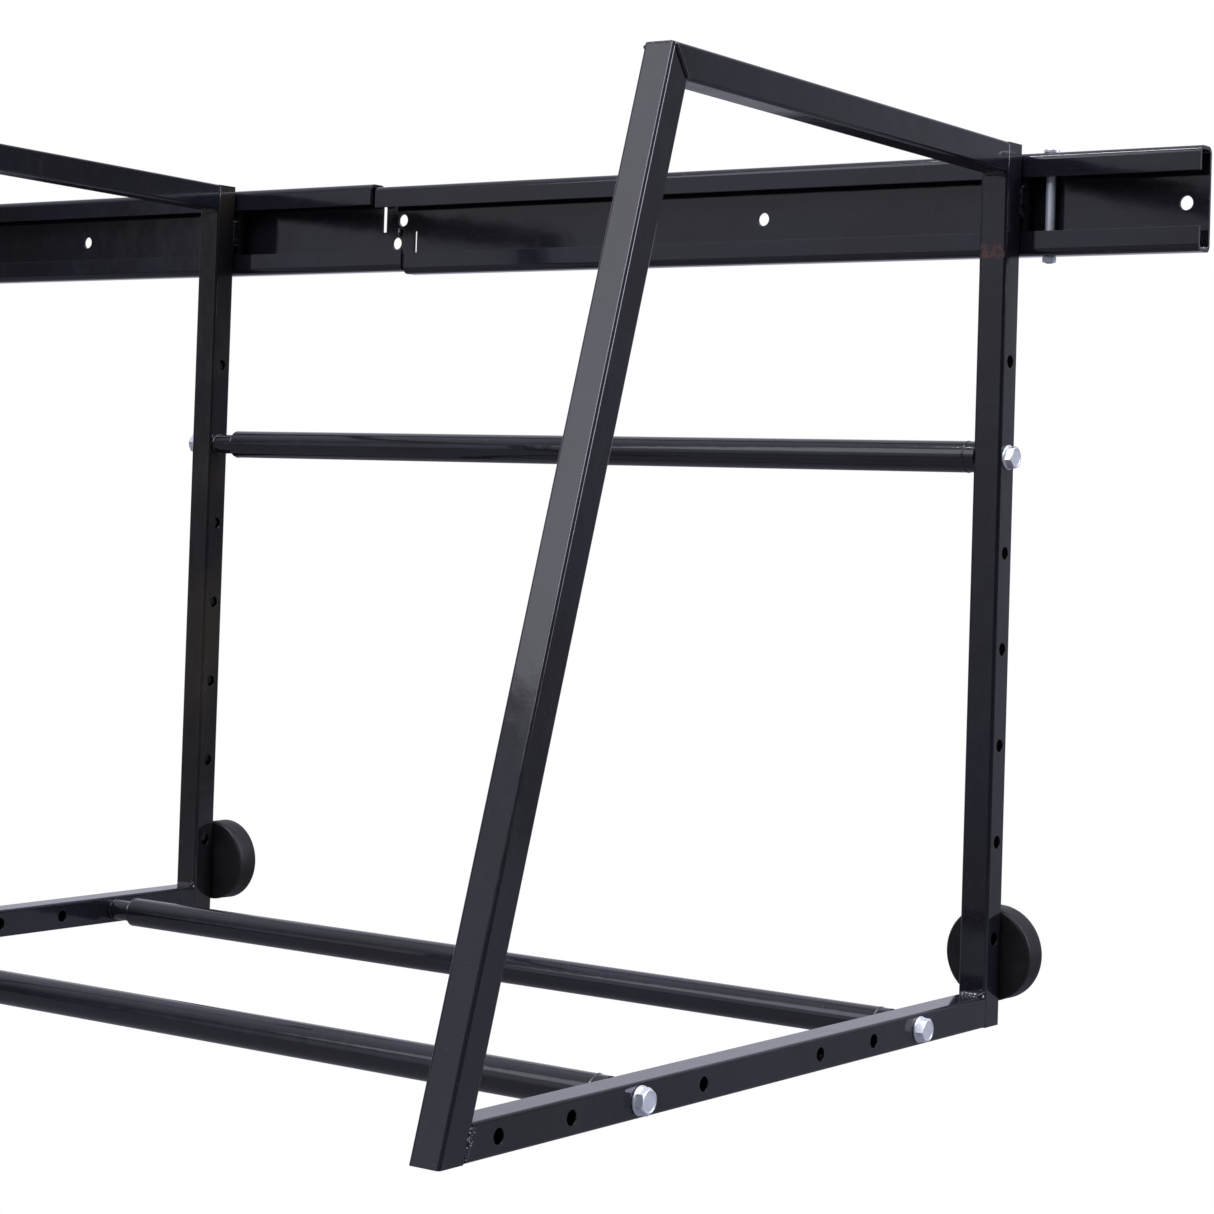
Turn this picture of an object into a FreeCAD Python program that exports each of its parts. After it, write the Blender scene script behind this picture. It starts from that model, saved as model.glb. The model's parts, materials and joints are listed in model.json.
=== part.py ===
"""Wall-hung ladder rack: two closed tube frames joined by three round bars,
hanging on a two-piece lipped channel rail that is screwed to a wall.

Frame of the model: the wall is the plane y = 0 with the rack on its -y side,
x runs along the rail, z is up.  The origin is on the wall, half-way between
the two frames and at mid height of the right-hand rail.  Millimetres.
"""
import FreeCAD, Part
import Sketcher
import math
import os

Vector = FreeCAD.Vector
Rotation = FreeCAD.Rotation
Placement = FreeCAD.Placement

DIMENSIONS = [
    # square tube of the frames
    ("tube_side", 25.4),
    ("tube_wall", 1.5),
    ("tube_corner", 2.5),
    ("tube_inner_corner", 1.0),
    # one closed frame, measured from the back of its post and from its underside
    ("frame_pitch", 891.0),
    ("wall_to_post", 23.5),
    ("base_drop", 685.0),
    ("post_height", 735.0),
    ("front_height", 745.0),
    ("foot_reach", 749.0),
    ("top_reach", 526.0),
    ("leg_blank", 840.0),
    ("top_arm_blank", 560.0),
    ("floor_arm_blank", 720.0),
    ("cap_thickness", 2.0),
    # bolt holes for the cross bars
    ("bolt_hole_radius", 5.5),
    ("hole_pitch", 80.0),
    ("lowest_post_hole", 72.0),
    ("foremost_arm_hole", 688.0),
    ("back_bar_height", 472.0),
    ("front_bar_reach", 528.0),
    ("rear_bar_reach", 136.0),
    # round cross bars and the plugs in their ends
    ("bar_radius", 13.35),
    ("bar_wall", 1.85),
    ("neck_radius", 9.5),
    ("neck_length", 22.0),
    ("cone_length", 5.0),
    ("collar_radius", 13.1),
    ("collar_length", 10.5),
    ("spigot_length", 20.0),
    # bar bolts, M10
    ("bolt_radius", 5.0),
    ("bolt_length", 48.0),
    ("bolt_head_flats", 17.0),
    ("bolt_head_height", 6.4),
    ("washer_radius", 10.5),
    ("washer_thickness", 2.0),
    # radius of a hexagon head's round top, as a share of its width across flats
    ("head_top_share", 0.475),
    # lipped channel rail
    ("rail_height", 86.5),
    ("rail_depth", 22.5),
    ("rail_wall", 3.0),
    ("rail_lip", 20.5),
    ("rail_corner", 6.0),
    ("rail_inner_corner", 3.0),
    ("right_rail_reach", 849.0),
    ("left_rail_reach", 891.0),
    ("joint_x", -232.0),
    ("joint_half", 20.0),
    ("upper_joint_gap", 5.8),
    ("lower_joint_gap", 3.6),
    ("rail_step", 3.3),
    ("tongue_length", 25.0),
    ("tongue_width", 8.0),
    ("wall_hole_radius", 6.0),
    ("screw_drop", 1.6),
    ("end_hole_inset", 20.0),
    ("right_middle_hole", 422.0),
    ("left_middle_hole", 433.0),
    ("joint_hole_side", 3.5),
    ("joint_hole_up", 13.0),
    # stop bolts: shoulder screws, 8 mm with M6 thread, upright through the rail near its ends
    ("stop_inset", 138.0),
    ("stop_hole_radius", 4.4),
    ("stop_radius", 4.0),
    ("stop_head_radius", 6.6),
    ("stop_head_height", 3.4),
    ("stop_shoulder_recess", 1.0),
    ("stop_thread_radius", 3.0),
    ("stop_thread_reach", 6.0),
    ("stop_nut_flats", 10.0),
    ("stop_nut_height", 5.2),
    # hanger that slides in the rail
    ("hanger_width", 20.0),
    ("hanger_height", 30.0),
    ("slider_width", 30.0),
    ("slider_height", 73.0),
    ("slider_thickness", 6.0),
    ("slider_corner", 4.0),
    ("slider_gap", 0.5),
    # rubber bumper behind the foot of each post
    ("bumper_radius", 39.2),
    ("right_bumper_height", 57.0),
    ("left_bumper_height", 50.0),
    ("right_bumper_shift", 0.0),
    ("left_bumper_shift", 11.0),
    ("bumper_edge", 1.2),
    ("bumper_recess_radius", 13.0),
    ("bumper_recess_depth", 10.0),
    ("stud_radius", 4.0),
    ("stud_length", 25.0),
    ("stud_head_flats", 13.0),
    ("stud_head_height", 5.3),
    ("stud_washer_radius", 12.0),
    ("stud_washer_thickness", 1.6),
]

doc = FreeCAD.newDocument("ladder_rack")
sheet = doc.addObject("Spreadsheet::Sheet", "dims")
for row, (alias, number) in enumerate(DIMENSIONS, start=1):
    sheet.set(f"A{row}", alias)
    sheet.set(f"B{row}", str(number))
    sheet.setAlias(f"B{row}", alias)
doc.recompute()

size = {alias: float(sheet.get(alias)) for alias, _ in DIMENSIONS}
nodes = {}

# bolt holes for the cross bars, counted in hole pitches from the first one
POST_HOLE_STEPS = (0, 1, 2, 3, 4, 5, 6)
ARM_HOLE_STEPS = (0, 1, 2, 3, 5, 6)


# ---------------------------------------------------------------- helpers

def finish(part, name):
    """Give a sub-part its own label and put it on the list that is written out."""
    part.Label = name
    nodes[name] = part
    return part


def new_body(name):
    return doc.addObject("PartDesign::Body", name + "_body")


def new_sketch(body, name, role):
    """A sketch on one of the body's own origin planes."""
    sketch = body.newObject("Sketcher::SketchObject", name)
    plane = [item for item in body.Origin.OriginFeatures if item.Role == role][0]
    sketch.AttachmentSupport = [(plane, "")]
    sketch.MapMode = "FlatFace"
    return sketch


def bind_length(sketch, constraint, expression):
    """Add a dimensional constraint and tie it to the sheet."""
    index = sketch.addConstraint(constraint)
    sketch.setExpression(f"Constraints[{index}]", expression)


def rounded_rectangle(sketch, sides, corner, start_at, names):
    """A closed rectangle with equal round corners, its middle at a fixed point.

    sides and corner are numbers that start the solver; names are the sheet's
    expressions for the width, the height, the corner radius and the middle.
    """
    half_w, half_h = sides[0] / 2, sides[1] / 2
    mid_x, mid_y = start_at
    inner_w, inner_h = half_w - corner, half_h - corner
    corners = [(inner_w, inner_h, 0), (-inner_w, inner_h, 90),
               (-inner_w, -inner_h, 180), (inner_w, -inner_h, 270)]
    arcs = []
    for x, y, degrees in corners:
        circle = Part.Circle(Vector(mid_x + x, mid_y + y, 0), Vector(0, 0, 1), corner)
        first = math.radians(degrees)
        arcs.append(sketch.addGeometry(Part.ArcOfCircle(circle, first, first + math.pi / 2), False))
    lines = []
    for number, arc in enumerate(arcs):
        following = arcs[(number + 1) % 4]
        begin = sketch.getPoint(arc, 2)
        end = sketch.getPoint(following, 1)
        lines.append(sketch.addGeometry(Part.LineSegment(begin, end), False))
    for number, line in enumerate(lines):
        sketch.addConstraint(Sketcher.Constraint("Tangent", arcs[number], 2, line, 1))
        sketch.addConstraint(Sketcher.Constraint("Tangent", line, 2, arcs[(number + 1) % 4], 1))
        direction = "Horizontal" if number % 2 == 0 else "Vertical"
        sketch.addConstraint(Sketcher.Constraint(direction, line))
    for arc in arcs[1:]:
        sketch.addConstraint(Sketcher.Constraint("Equal", arcs[0], arc))
    width, height, radius, middle_x, middle_y = names
    bind_length(sketch, Sketcher.Constraint("Radius", arcs[0], corner), radius)
    bind_length(sketch, Sketcher.Constraint("DistanceX", lines[2], 1, lines[2], 2, 2 * inner_w),
                f"{width} - 2 * {radius}")
    bind_length(sketch, Sketcher.Constraint("DistanceY", lines[1], 2, lines[1], 1, 2 * inner_h),
                f"{height} - 2 * {radius}")
    bind_length(sketch, Sketcher.Constraint("DistanceX", -1, 1, arcs[0], 3, mid_x + inner_w),
                f"{middle_x} + {width} / 2 - {radius}")
    bind_length(sketch, Sketcher.Constraint("DistanceY", -1, 1, arcs[0], 3, mid_y + inner_h),
                f"{middle_y} + {height} / 2 - {radius}")


def plain_rectangle(sketch, sides):
    """A sharp rectangle; sides are (number, expression) for its left, right, low and high edges."""
    (left, _), (right, _), (low, _), (high, _) = sides
    add_polygon(sketch, [(left, low), (right, low), (right, high), (left, high)])
    for line, direction in enumerate(("Horizontal", "Vertical", "Horizontal", "Vertical")):
        sketch.addConstraint(Sketcher.Constraint(direction, line))
    edges = ((3, "DistanceX"), (1, "DistanceX"), (0, "DistanceY"), (2, "DistanceY"))
    for (line, kind), (number, expression) in zip(edges, sides):
        bind_length(sketch, Sketcher.Constraint(kind, -1, 1, line, 1, number), expression)


def add_polygon(sketch, points):
    """A closed outline of straight lines through the given points."""
    count = len(points)
    for number, (x, y) in enumerate(points):
        next_x, next_y = points[(number + 1) % count]
        sketch.addGeometry(Part.LineSegment(Vector(x, y, 0), Vector(next_x, next_y, 0)), False)
    for number in range(count):
        following = (number + 1) % count
        sketch.addConstraint(Sketcher.Constraint("Coincident", number, 2, following, 1))


def pad(body, sketch, expression, midplane=False):
    feature = body.newObject("PartDesign::Pad", sketch.Name + "_pad")
    feature.Profile = sketch
    feature.setExpression("Length", expression)
    feature.Midplane = midplane
    doc.recompute()
    return feature


def cut_through(body, sketch):
    """Cut the sketch's outlines right through the body, both ways."""
    before = body.Shape.Volume
    feature = body.newObject("PartDesign::Pocket", sketch.Name + "_cut")
    feature.Profile = sketch
    feature.Type = "ThroughAll"
    feature.Midplane = True
    doc.recompute()
    if body.Shape.Volume >= before - 1e-6:
        raise RuntimeError(f"{feature.Name} cut nothing")
    return feature


def drill(body, name, role, centres, radius):
    """Round holes through the body; centres are in the sketch's own plane."""
    sketch = new_sketch(body, name, role)
    for x, y in centres:
        circle = Part.Circle(Vector(x, y, 0), Vector(0, 0, 1), size[radius])
        index = sketch.addGeometry(circle, False)
        sketch.addConstraint(Sketcher.Constraint("DistanceX", -1, 1, index, 3, x))
        sketch.addConstraint(Sketcher.Constraint("DistanceY", -1, 1, index, 3, y))
        bind_length(sketch, Sketcher.Constraint("Radius", index, size[radius]), f"dims.{radius}")
    cut_through(body, sketch)


def primitive(kind, name, bindings, placement=None):
    """A Part primitive whose properties follow expressions of the sheet."""
    item = doc.addObject(kind, name)
    for prop, expression in bindings.items():
        item.setExpression(prop, expression)
    if placement is not None:
        item.Placement = placement
    return item


def cylinder(name, radius, length, placement=None):
    return primitive("Part::Cylinder", name, {"Radius": radius, "Height": length}, placement)


def fuse(name, pieces):
    joined = doc.addObject("Part::MultiFuse", name)
    joined.Shapes = pieces
    joined.Refine = True
    return joined


def cut(name, base, tool):
    result = doc.addObject("Part::Cut", name)
    result.Base = base
    result.Tool = tool
    return result


def lifted(height):
    return Placement(Vector(0, 0, height), Rotation())


# ------------------------------------------------- square tubes of a frame

def square_tube(name, length):
    """A straight tube along the body's z axis, centred on it, from z = 0."""
    body = new_body(name)
    side, wall = size["tube_side"], size["tube_wall"]
    outside = new_sketch(body, name + "_outside", "XY_Plane")
    rounded_rectangle(outside, (side, side), size["tube_corner"], (0, 0),
                      ("dims.tube_side", "dims.tube_side", "dims.tube_corner", "0", "0"))
    pad(body, outside, length)
    inside = new_sketch(body, name + "_inside", "XY_Plane")
    bore = side - 2 * wall
    bore_width = "(dims.tube_side - 2 * dims.tube_wall)"
    rounded_rectangle(inside, (bore, bore), size["tube_inner_corner"], (0, 0),
                      (bore_width, bore_width, "dims.tube_inner_corner", "0", "0"))
    cut_through(body, inside)
    return body


def trim(body, name, placement, corners):
    """Cut off what lies inside the outline; corners are (y, z) of the model."""
    to_body = placement.inverse()
    points = [to_body.multVec(Vector(placement.Base.x, y, z)) for y, z in corners]
    sketch = new_sketch(body, name, "YZ_Plane")
    add_polygon(sketch, [(point.y, point.z) for point in points])
    cut_through(body, sketch)


def along(point, direction, distance):
    return (point[0] + direction[0] * distance, point[1] + direction[1] * distance)


def unit(start, end):
    length = math.hypot(end[0] - start[0], end[1] - start[1])
    return ((end[0] - start[0]) / length, (end[1] - start[1]) / length)


def meeting_point(point_a, direction_a, point_b, direction_b):
    """Where two lines of the (y, z) plane cross."""
    cross = direction_a[0] * direction_b[1] - direction_a[1] * direction_b[0]
    gap = (point_b[0] - point_a[0], point_b[1] - point_a[1])
    distance = (gap[0] * direction_b[1] - gap[1] * direction_b[0]) / cross
    return along(point_a, direction_a, distance)


SIDE = size["tube_side"]
HALF = SIDE / 2
TRIM_DEPTH = 90.0
POST_BACK = -size["wall_to_post"]
POST_FRONT = POST_BACK - SIDE
FLOOR = -size["base_drop"]

# outline of a frame seen from its side, as (y, z)
foot = (POST_BACK - size["foot_reach"], FLOOR)
peak = (POST_BACK - size["top_reach"], FLOOR + size["front_height"])
arm_root = (POST_FRONT, FLOOR + size["post_height"])
leg_up = unit(foot, peak)
leg_inward = (leg_up[1], -leg_up[0])
arm_back = unit(peak, arm_root)
arm_down = (arm_back[1], -arm_back[0])
leg_rear_point = along(foot, leg_inward, SIDE)
arm_under_point = along(peak, arm_down, SIDE)
inner_peak = meeting_point(leg_rear_point, leg_up, arm_under_point, arm_back)
mitre = unit(peak, inner_peak)
mitre_back = (-mitre[1], mitre[0])


def rear_post(side, x):
    name = side + "_rear_post"
    bumper_height = side + "_bumper_height"
    placement = Placement(Vector(x, POST_BACK - HALF, FLOOR), Rotation())
    body = square_tube(name, "dims.post_height - dims.cap_thickness")
    heights = [size["lowest_post_hole"] + step * size["hole_pitch"] for step in POST_HOLE_STEPS]
    drill(body, name + "_bar_holes", "YZ_Plane", [(0, height) for height in heights], "bolt_hole_radius")
    stud_hole = new_sketch(body, name + "_stud_hole", "XZ_Plane")
    index = stud_hole.addGeometry(Part.Circle(Vector(0, size[bumper_height], 0), Vector(0, 0, 1),
                                              size["stud_radius"]), False)
    stud_hole.addConstraint(Sketcher.Constraint("PointOnObject", index, 3, -2))
    bind_length(stud_hole, Sketcher.Constraint("DistanceY", -1, 1, index, 3, size[bumper_height]),
                f"dims.{bumper_height}")
    bind_length(stud_hole, Sketcher.Constraint("Radius", index, size["stud_radius"]), "dims.stud_radius")
    before = body.Shape.Volume
    threaded = body.newObject("PartDesign::Pocket", name + "_stud_hole_cut")
    threaded.Profile = stud_hole
    threaded.setExpression("Length", "dims.tube_side")
    # the sketch's normal is -y, and an unreversed pocket runs against it, into the rear wall
    threaded.Reversed = False
    doc.recompute()
    if body.Shape.Volume >= before - 1e-6:
        raise RuntimeError(f"{threaded.Name} cut nothing")
    body.Placement = placement
    return finish(body, name)


def floor_arm(name, x):
    """From the post's front face to the leg's slanted rear face."""
    turn = Rotation(Vector(1, 0, 0), 90)
    placement = Placement(Vector(x, POST_FRONT, FLOOR + HALF), turn)
    body = square_tube(name, "dims.floor_arm_blank")
    leg_face_low = along(leg_rear_point, leg_up, -TRIM_DEPTH)
    leg_face_high = along(leg_rear_point, leg_up, TRIM_DEPTH)
    outward = (-leg_inward[0], -leg_inward[1])
    trim(body, name + "_leg_end", placement,
         [leg_face_low, leg_face_high, along(leg_face_high, outward, TRIM_DEPTH),
          along(leg_face_low, outward, TRIM_DEPTH)])
    reaches = [size["foremost_arm_hole"] - step * size["hole_pitch"] for step in ARM_HOLE_STEPS]
    reaches.append(size["rear_bar_reach"])
    centres = [(0, reach - SIDE) for reach in reaches]
    drill(body, name + "_bar_holes", "YZ_Plane", centres, "bolt_hole_radius")
    body.Placement = placement
    return finish(body, name)


def front_leg(name, x):
    """Slanted tube, level at the floor and mitred to the top arm."""
    lean = math.degrees(math.atan2(leg_up[0], leg_up[1]))
    turn = Rotation(Vector(1, 0, 0), -lean)
    blank_start = along(along(foot, leg_inward, HALF), leg_up, -SIDE)
    placement = Placement(Vector(x, blank_start[0], blank_start[1]), turn)
    body = square_tube(name, "dims.leg_blank")
    trim(body, name + "_floor_end", placement,
         [(foot[0] - TRIM_DEPTH, FLOOR), (foot[0] + TRIM_DEPTH, FLOOR),
          (foot[0] + TRIM_DEPTH, FLOOR - TRIM_DEPTH), (foot[0] - TRIM_DEPTH, FLOOR - TRIM_DEPTH)])
    mitre_out = along(peak, mitre, -TRIM_DEPTH)
    mitre_in = along(peak, mitre, TRIM_DEPTH)
    trim(body, name + "_mitre", placement,
         [mitre_out, mitre_in, along(mitre_in, mitre_back, TRIM_DEPTH),
          along(mitre_out, mitre_back, TRIM_DEPTH)])
    body.Placement = placement
    return finish(body, name)


def top_arm(name, x):
    """From the post's front face, rising a little, to the mitre at the leg."""
    rise = math.degrees(math.atan2(-arm_back[1], arm_back[0]))
    turn = Rotation(Vector(1, 0, 0), 90 - rise)
    root_middle = along(arm_root, arm_down, HALF)
    blank_start = along(root_middle, arm_back, HALF)
    placement = Placement(Vector(x, blank_start[0], blank_start[1]), turn)
    body = square_tube(name, "dims.top_arm_blank")
    top = arm_root[1]
    trim(body, name + "_post_end", placement,
         [(POST_FRONT, top + TRIM_DEPTH), (POST_FRONT, top - TRIM_DEPTH),
          (POST_FRONT + TRIM_DEPTH, top - TRIM_DEPTH), (POST_FRONT + TRIM_DEPTH, top + TRIM_DEPTH)])
    mitre_out = along(peak, mitre, -TRIM_DEPTH)
    mitre_in = along(peak, mitre, TRIM_DEPTH)
    trim(body, name + "_mitre", placement,
         [mitre_out, mitre_in, along(mitre_in, mitre_back, -TRIM_DEPTH),
          along(mitre_out, mitre_back, -TRIM_DEPTH)])
    body.Placement = placement
    return finish(body, name)


def post_cap(name, x):
    """Square plate with rounded corners that closes the top of the post."""
    body = new_body(name)
    outline = new_sketch(body, name + "_outline", "XY_Plane")
    rounded_rectangle(outline, (SIDE, SIDE), size["tube_corner"], (0, 0),
                      ("dims.tube_side", "dims.tube_side", "dims.tube_corner", "0", "0"))
    pad(body, outline, "dims.cap_thickness")
    level = FLOOR + size["post_height"] - size["cap_thickness"]
    body.Placement = Placement(Vector(x, POST_BACK - HALF, level), Rotation())
    return finish(body, name)


# ------------------------------------------------- hanger and slider

SLIDER_MIDDLE = size["rail_step"] / 2
SLIDER_FRONT = -size["rail_depth"] + size["rail_wall"] + size["slider_gap"]


def hanger_block(name, x):
    """Block welded to the back of the post, reaching in between the rail's lips."""
    block = primitive("Part::Box", name + "_box",
                      {"Length": "dims.hanger_width",
                       "Width": "dims.wall_to_post - dims.rail_depth + dims.rail_wall + dims.slider_gap",
                       "Height": "dims.hanger_height"})
    block.Placement = Placement(Vector(x - size["hanger_width"] / 2, POST_BACK,
                                       SLIDER_MIDDLE - size["hanger_height"] / 2), Rotation())
    return finish(block, name)


def slide_plate(name, x):
    """Plate inside the channel, taller than the gap between the lips."""
    body = new_body(name)
    outline = new_sketch(body, name + "_outline", "XZ_Plane")
    rounded_rectangle(outline, (size["slider_width"], size["slider_height"]), size["slider_corner"],
                      (0, 0), ("dims.slider_width", "dims.slider_height", "dims.slider_corner", "0", "0"))
    pad(body, outline, "dims.slider_thickness")
    middle = SLIDER_FRONT + size["slider_thickness"]
    body.Placement = Placement(Vector(x, middle, SLIDER_MIDDLE), Rotation())
    return finish(body, name)


# ------------------------------------------------- turned and hexagonal pieces

def hex_head(name, flats, height):
    """Hexagon across the given flats with its outer corners chamfered at 30 degrees."""
    top_radius = f"{flats} * dims.head_top_share"
    prism = primitive("Part::Prism", name + "_prism",
                      {"Circumradius": f"{flats} / 2 / cos(30 deg)", "Height": height})
    prism.Polygon = 6
    cone = primitive("Part::Cone", name + "_cone",
                     {"Radius1": f"{top_radius} + {height} * tan(60 deg)", "Radius2": top_radius,
                      "Height": height})
    common = doc.addObject("Part::Common", name)
    common.Base = prism
    common.Tool = cone
    return common


def hex_bolt(name, sizes, placement):
    """Bolt along z: the head rises from z = 0 and the shank goes down."""
    radius, length, flats, height = sizes
    head = hex_head(name + "_head", flats, height)
    shank = cylinder(name + "_shank", radius, length)
    shank.Placement = Placement(Vector(0, 0, 0), Rotation(Vector(1, 0, 0), 180))
    bolt = fuse(name, [head, shank])
    bolt.Placement = placement
    return bolt


def shoulder_screw(name, placement):
    """Stop bolt along z: round head from z = 0 up, shoulder through the rail, thread below it."""
    head = cylinder(name + "_head", "dims.stop_head_radius", "dims.stop_head_height")
    downward = Placement(Vector(0, 0, 0), Rotation(Vector(1, 0, 0), 180))
    shoulder = cylinder(name + "_shoulder", "dims.stop_radius",
                        "dims.rail_height - dims.stop_shoulder_recess", downward)
    thread = cylinder(name + "_thread", "dims.stop_thread_radius",
                      "dims.rail_height + dims.stop_thread_reach", downward)
    screw = fuse(name, [head, shoulder, thread])
    screw.Placement = placement
    return screw


def ring(name, outer, inner, thickness, placement):
    """Flat washer from z = 0 up."""
    disc = cylinder(name + "_disc", outer, thickness)
    hole = cylinder(name + "_hole", inner, thickness)
    washer = cut(name, disc, hole)
    washer.Placement = placement
    return washer


def hex_nut(name, flats, height, inner, placement):
    outside = hex_head(name + "_outside", flats, height)
    hole = cylinder(name + "_hole", inner, height)
    nut = cut(name, outside, hole)
    nut.Placement = placement
    return nut


def group(name, pieces):
    """Several equal fasteners as one node of separate solids."""
    compound = doc.addObject("Part::Compound", name + "_group")
    compound.Links = pieces
    return finish(compound, name)


# ------------------------------------------------- cross bars

def cross_bar(name, y, z):
    """Round tube along x with a long plug in its left end and a short one in its right."""
    gap_half = (size["frame_pitch"] - SIDE) / 2
    left_end = -gap_half + size["neck_length"] + size["cone_length"]
    to_x = Rotation(Vector(0, 1, 0), 90)
    span = "dims.frame_pitch - dims.tube_side - dims.neck_length - dims.cone_length - dims.collar_length"
    outer = cylinder(name + "_outer", "dims.bar_radius", span)
    inner = cylinder(name + "_inner", "dims.bar_radius - dims.bar_wall", span)
    tube = cut(name + "_tube", outer, inner)
    tube.Placement = Placement(Vector(left_end, y, z), to_x)
    finish(tube, name)

    neck = cylinder(name + "_neck", "dims.neck_radius", "dims.neck_length")
    cone = primitive("Part::Cone", name + "_cone",
                     {"Radius1": "dims.neck_radius", "Radius2": "dims.bar_radius",
                      "Height": "dims.cone_length"}, lifted(size["neck_length"]))
    spigot = cylinder(name + "_left_spigot", "dims.bar_radius - dims.bar_wall", "dims.spigot_length",
                      lifted(size["neck_length"] + size["cone_length"]))
    left_bore = cylinder(name + "_left_bore", "dims.bolt_radius",
                         "dims.neck_length + dims.cone_length + dims.spigot_length")
    left_plug = cut(name + "_left_plug_solid", fuse(name + "_left_turned", [neck, cone, spigot]), left_bore)
    left_plug.Placement = Placement(Vector(-gap_half, y, z), to_x)
    finish(left_plug, name + "_left_plug")

    collar = cylinder(name + "_collar", "dims.collar_radius", "dims.collar_length")
    spigot = cylinder(name + "_right_spigot", "dims.bar_radius - dims.bar_wall", "dims.spigot_length",
                      lifted(size["collar_length"]))
    right_bore = cylinder(name + "_right_bore", "dims.bolt_radius", "dims.collar_length + dims.spigot_length")
    right_plug = cut(name + "_right_plug_solid", fuse(name + "_right_turned", [collar, spigot]), right_bore)
    right_plug.Placement = Placement(Vector(gap_half, y, z), Rotation(Vector(0, 1, 0), -90))
    finish(right_plug, name + "_right_plug")


# ------------------------------------------------- rail

def rail(side, way, placement):
    """Half of the rail in its own frame: the joint is at x = 0 and the far end at x = reach.

    Above the joint's level split it reaches past the joint as a tab, with a narrow
    tongue of the top flange beyond that; below the split it is cut back for the
    other half's tab.  The left half is the same form turned half a turn about y,
    so its own z axis points down: way is 1 for the right half and -1 for the left.
    """
    name, reach = side + "_rail", side + "_rail_reach"
    drop = way * size["screw_drop"]
    tab_gap = "upper_joint_gap" if way == 1 else "lower_joint_gap"
    other_gap = "lower_joint_gap" if way == 1 else "upper_joint_gap"
    depth, height, wall = size["rail_depth"], size["rail_height"], size["rail_wall"]
    tab_end = -size["joint_half"] + size[tab_gap] / 2
    cut_back = size["joint_half"] + size[other_gap] / 2
    body = new_body(name)
    outline = new_sketch(body, name + "_outline", "YZ_Plane")
    outline.AttachmentOffset = lifted(tab_end)
    rounded_rectangle(outline, (depth, height), size["rail_corner"], (-depth / 2, 0),
                      ("dims.rail_depth", "dims.rail_height", "dims.rail_corner", "-dims.rail_depth / 2",
                       "0"))
    pad(body, outline, f"dims.{reach} + dims.joint_half - dims.{tab_gap} / 2")

    hollow = new_sketch(body, name + "_hollow", "YZ_Plane")
    rounded_rectangle(hollow, (depth - 2 * wall, height - 2 * wall), size["rail_inner_corner"],
                      (-depth / 2, 0),
                      ("(dims.rail_depth - 2 * dims.rail_wall)", "(dims.rail_height - 2 * dims.rail_wall)",
                       "dims.rail_inner_corner", "-dims.rail_depth / 2", "0"))
    cut_through(body, hollow)

    slot = new_sketch(body, name + "_slot", "YZ_Plane")
    slot_half = height / 2 - size["rail_lip"]
    plain_rectangle(slot, [(-depth - wall, "-dims.rail_depth - dims.rail_wall"),
                           (-depth / 2, "-dims.rail_depth / 2"),
                           (-slot_half, "dims.rail_lip - dims.rail_height / 2"),
                           (slot_half, "dims.rail_height / 2 - dims.rail_lip")])
    cut_through(body, slot)

    other_tab = new_sketch(body, name + "_room_for_other_tab", "XZ_Plane")
    split = size["rail_step"] / 2 - drop
    plain_rectangle(other_tab, [(tab_end - wall, f"dims.{tab_gap} / 2 - dims.joint_half - dims.rail_wall"),
                                (cut_back, f"dims.joint_half + dims.{other_gap} / 2"),
                                (-height, "-dims.rail_height"),
                                (split, f"dims.rail_step / 2 - {way} * dims.screw_drop")])
    cut_through(body, other_tab)

    tongue = new_sketch(body, name + "_tongue", "YZ_Plane")
    tongue.AttachmentOffset = lifted(tab_end - size["tongue_length"])
    tongue_half = size["tongue_width"] / 2
    plain_rectangle(tongue, [(-depth / 2 - tongue_half, "-(dims.rail_depth + dims.tongue_width) / 2"),
                             (-depth / 2 + tongue_half, "(dims.tongue_width - dims.rail_depth) / 2"),
                             (height / 2 - wall, "dims.rail_height / 2 - dims.rail_wall"),
                             (height / 2, "dims.rail_height / 2")])
    pad(body, tongue, "dims.tongue_length + dims.rail_wall")

    far = size[reach]
    wall_holes = [(far - size["end_hole_inset"], -drop), (size[side + "_middle_hole"], -drop),
                  (size["joint_hole_side"], size["joint_hole_up"] - drop)]
    drill(body, name + "_wall_holes", "XZ_Plane", wall_holes, "wall_hole_radius")
    stop_hole = (far - size["stop_inset"], -depth / 2)
    drill(body, name + "_stop_holes", "XY_Plane", [stop_hole], "stop_hole_radius")
    body.Placement = placement
    return finish(body, name)


# ------------------------------------------------- bumper

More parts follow.
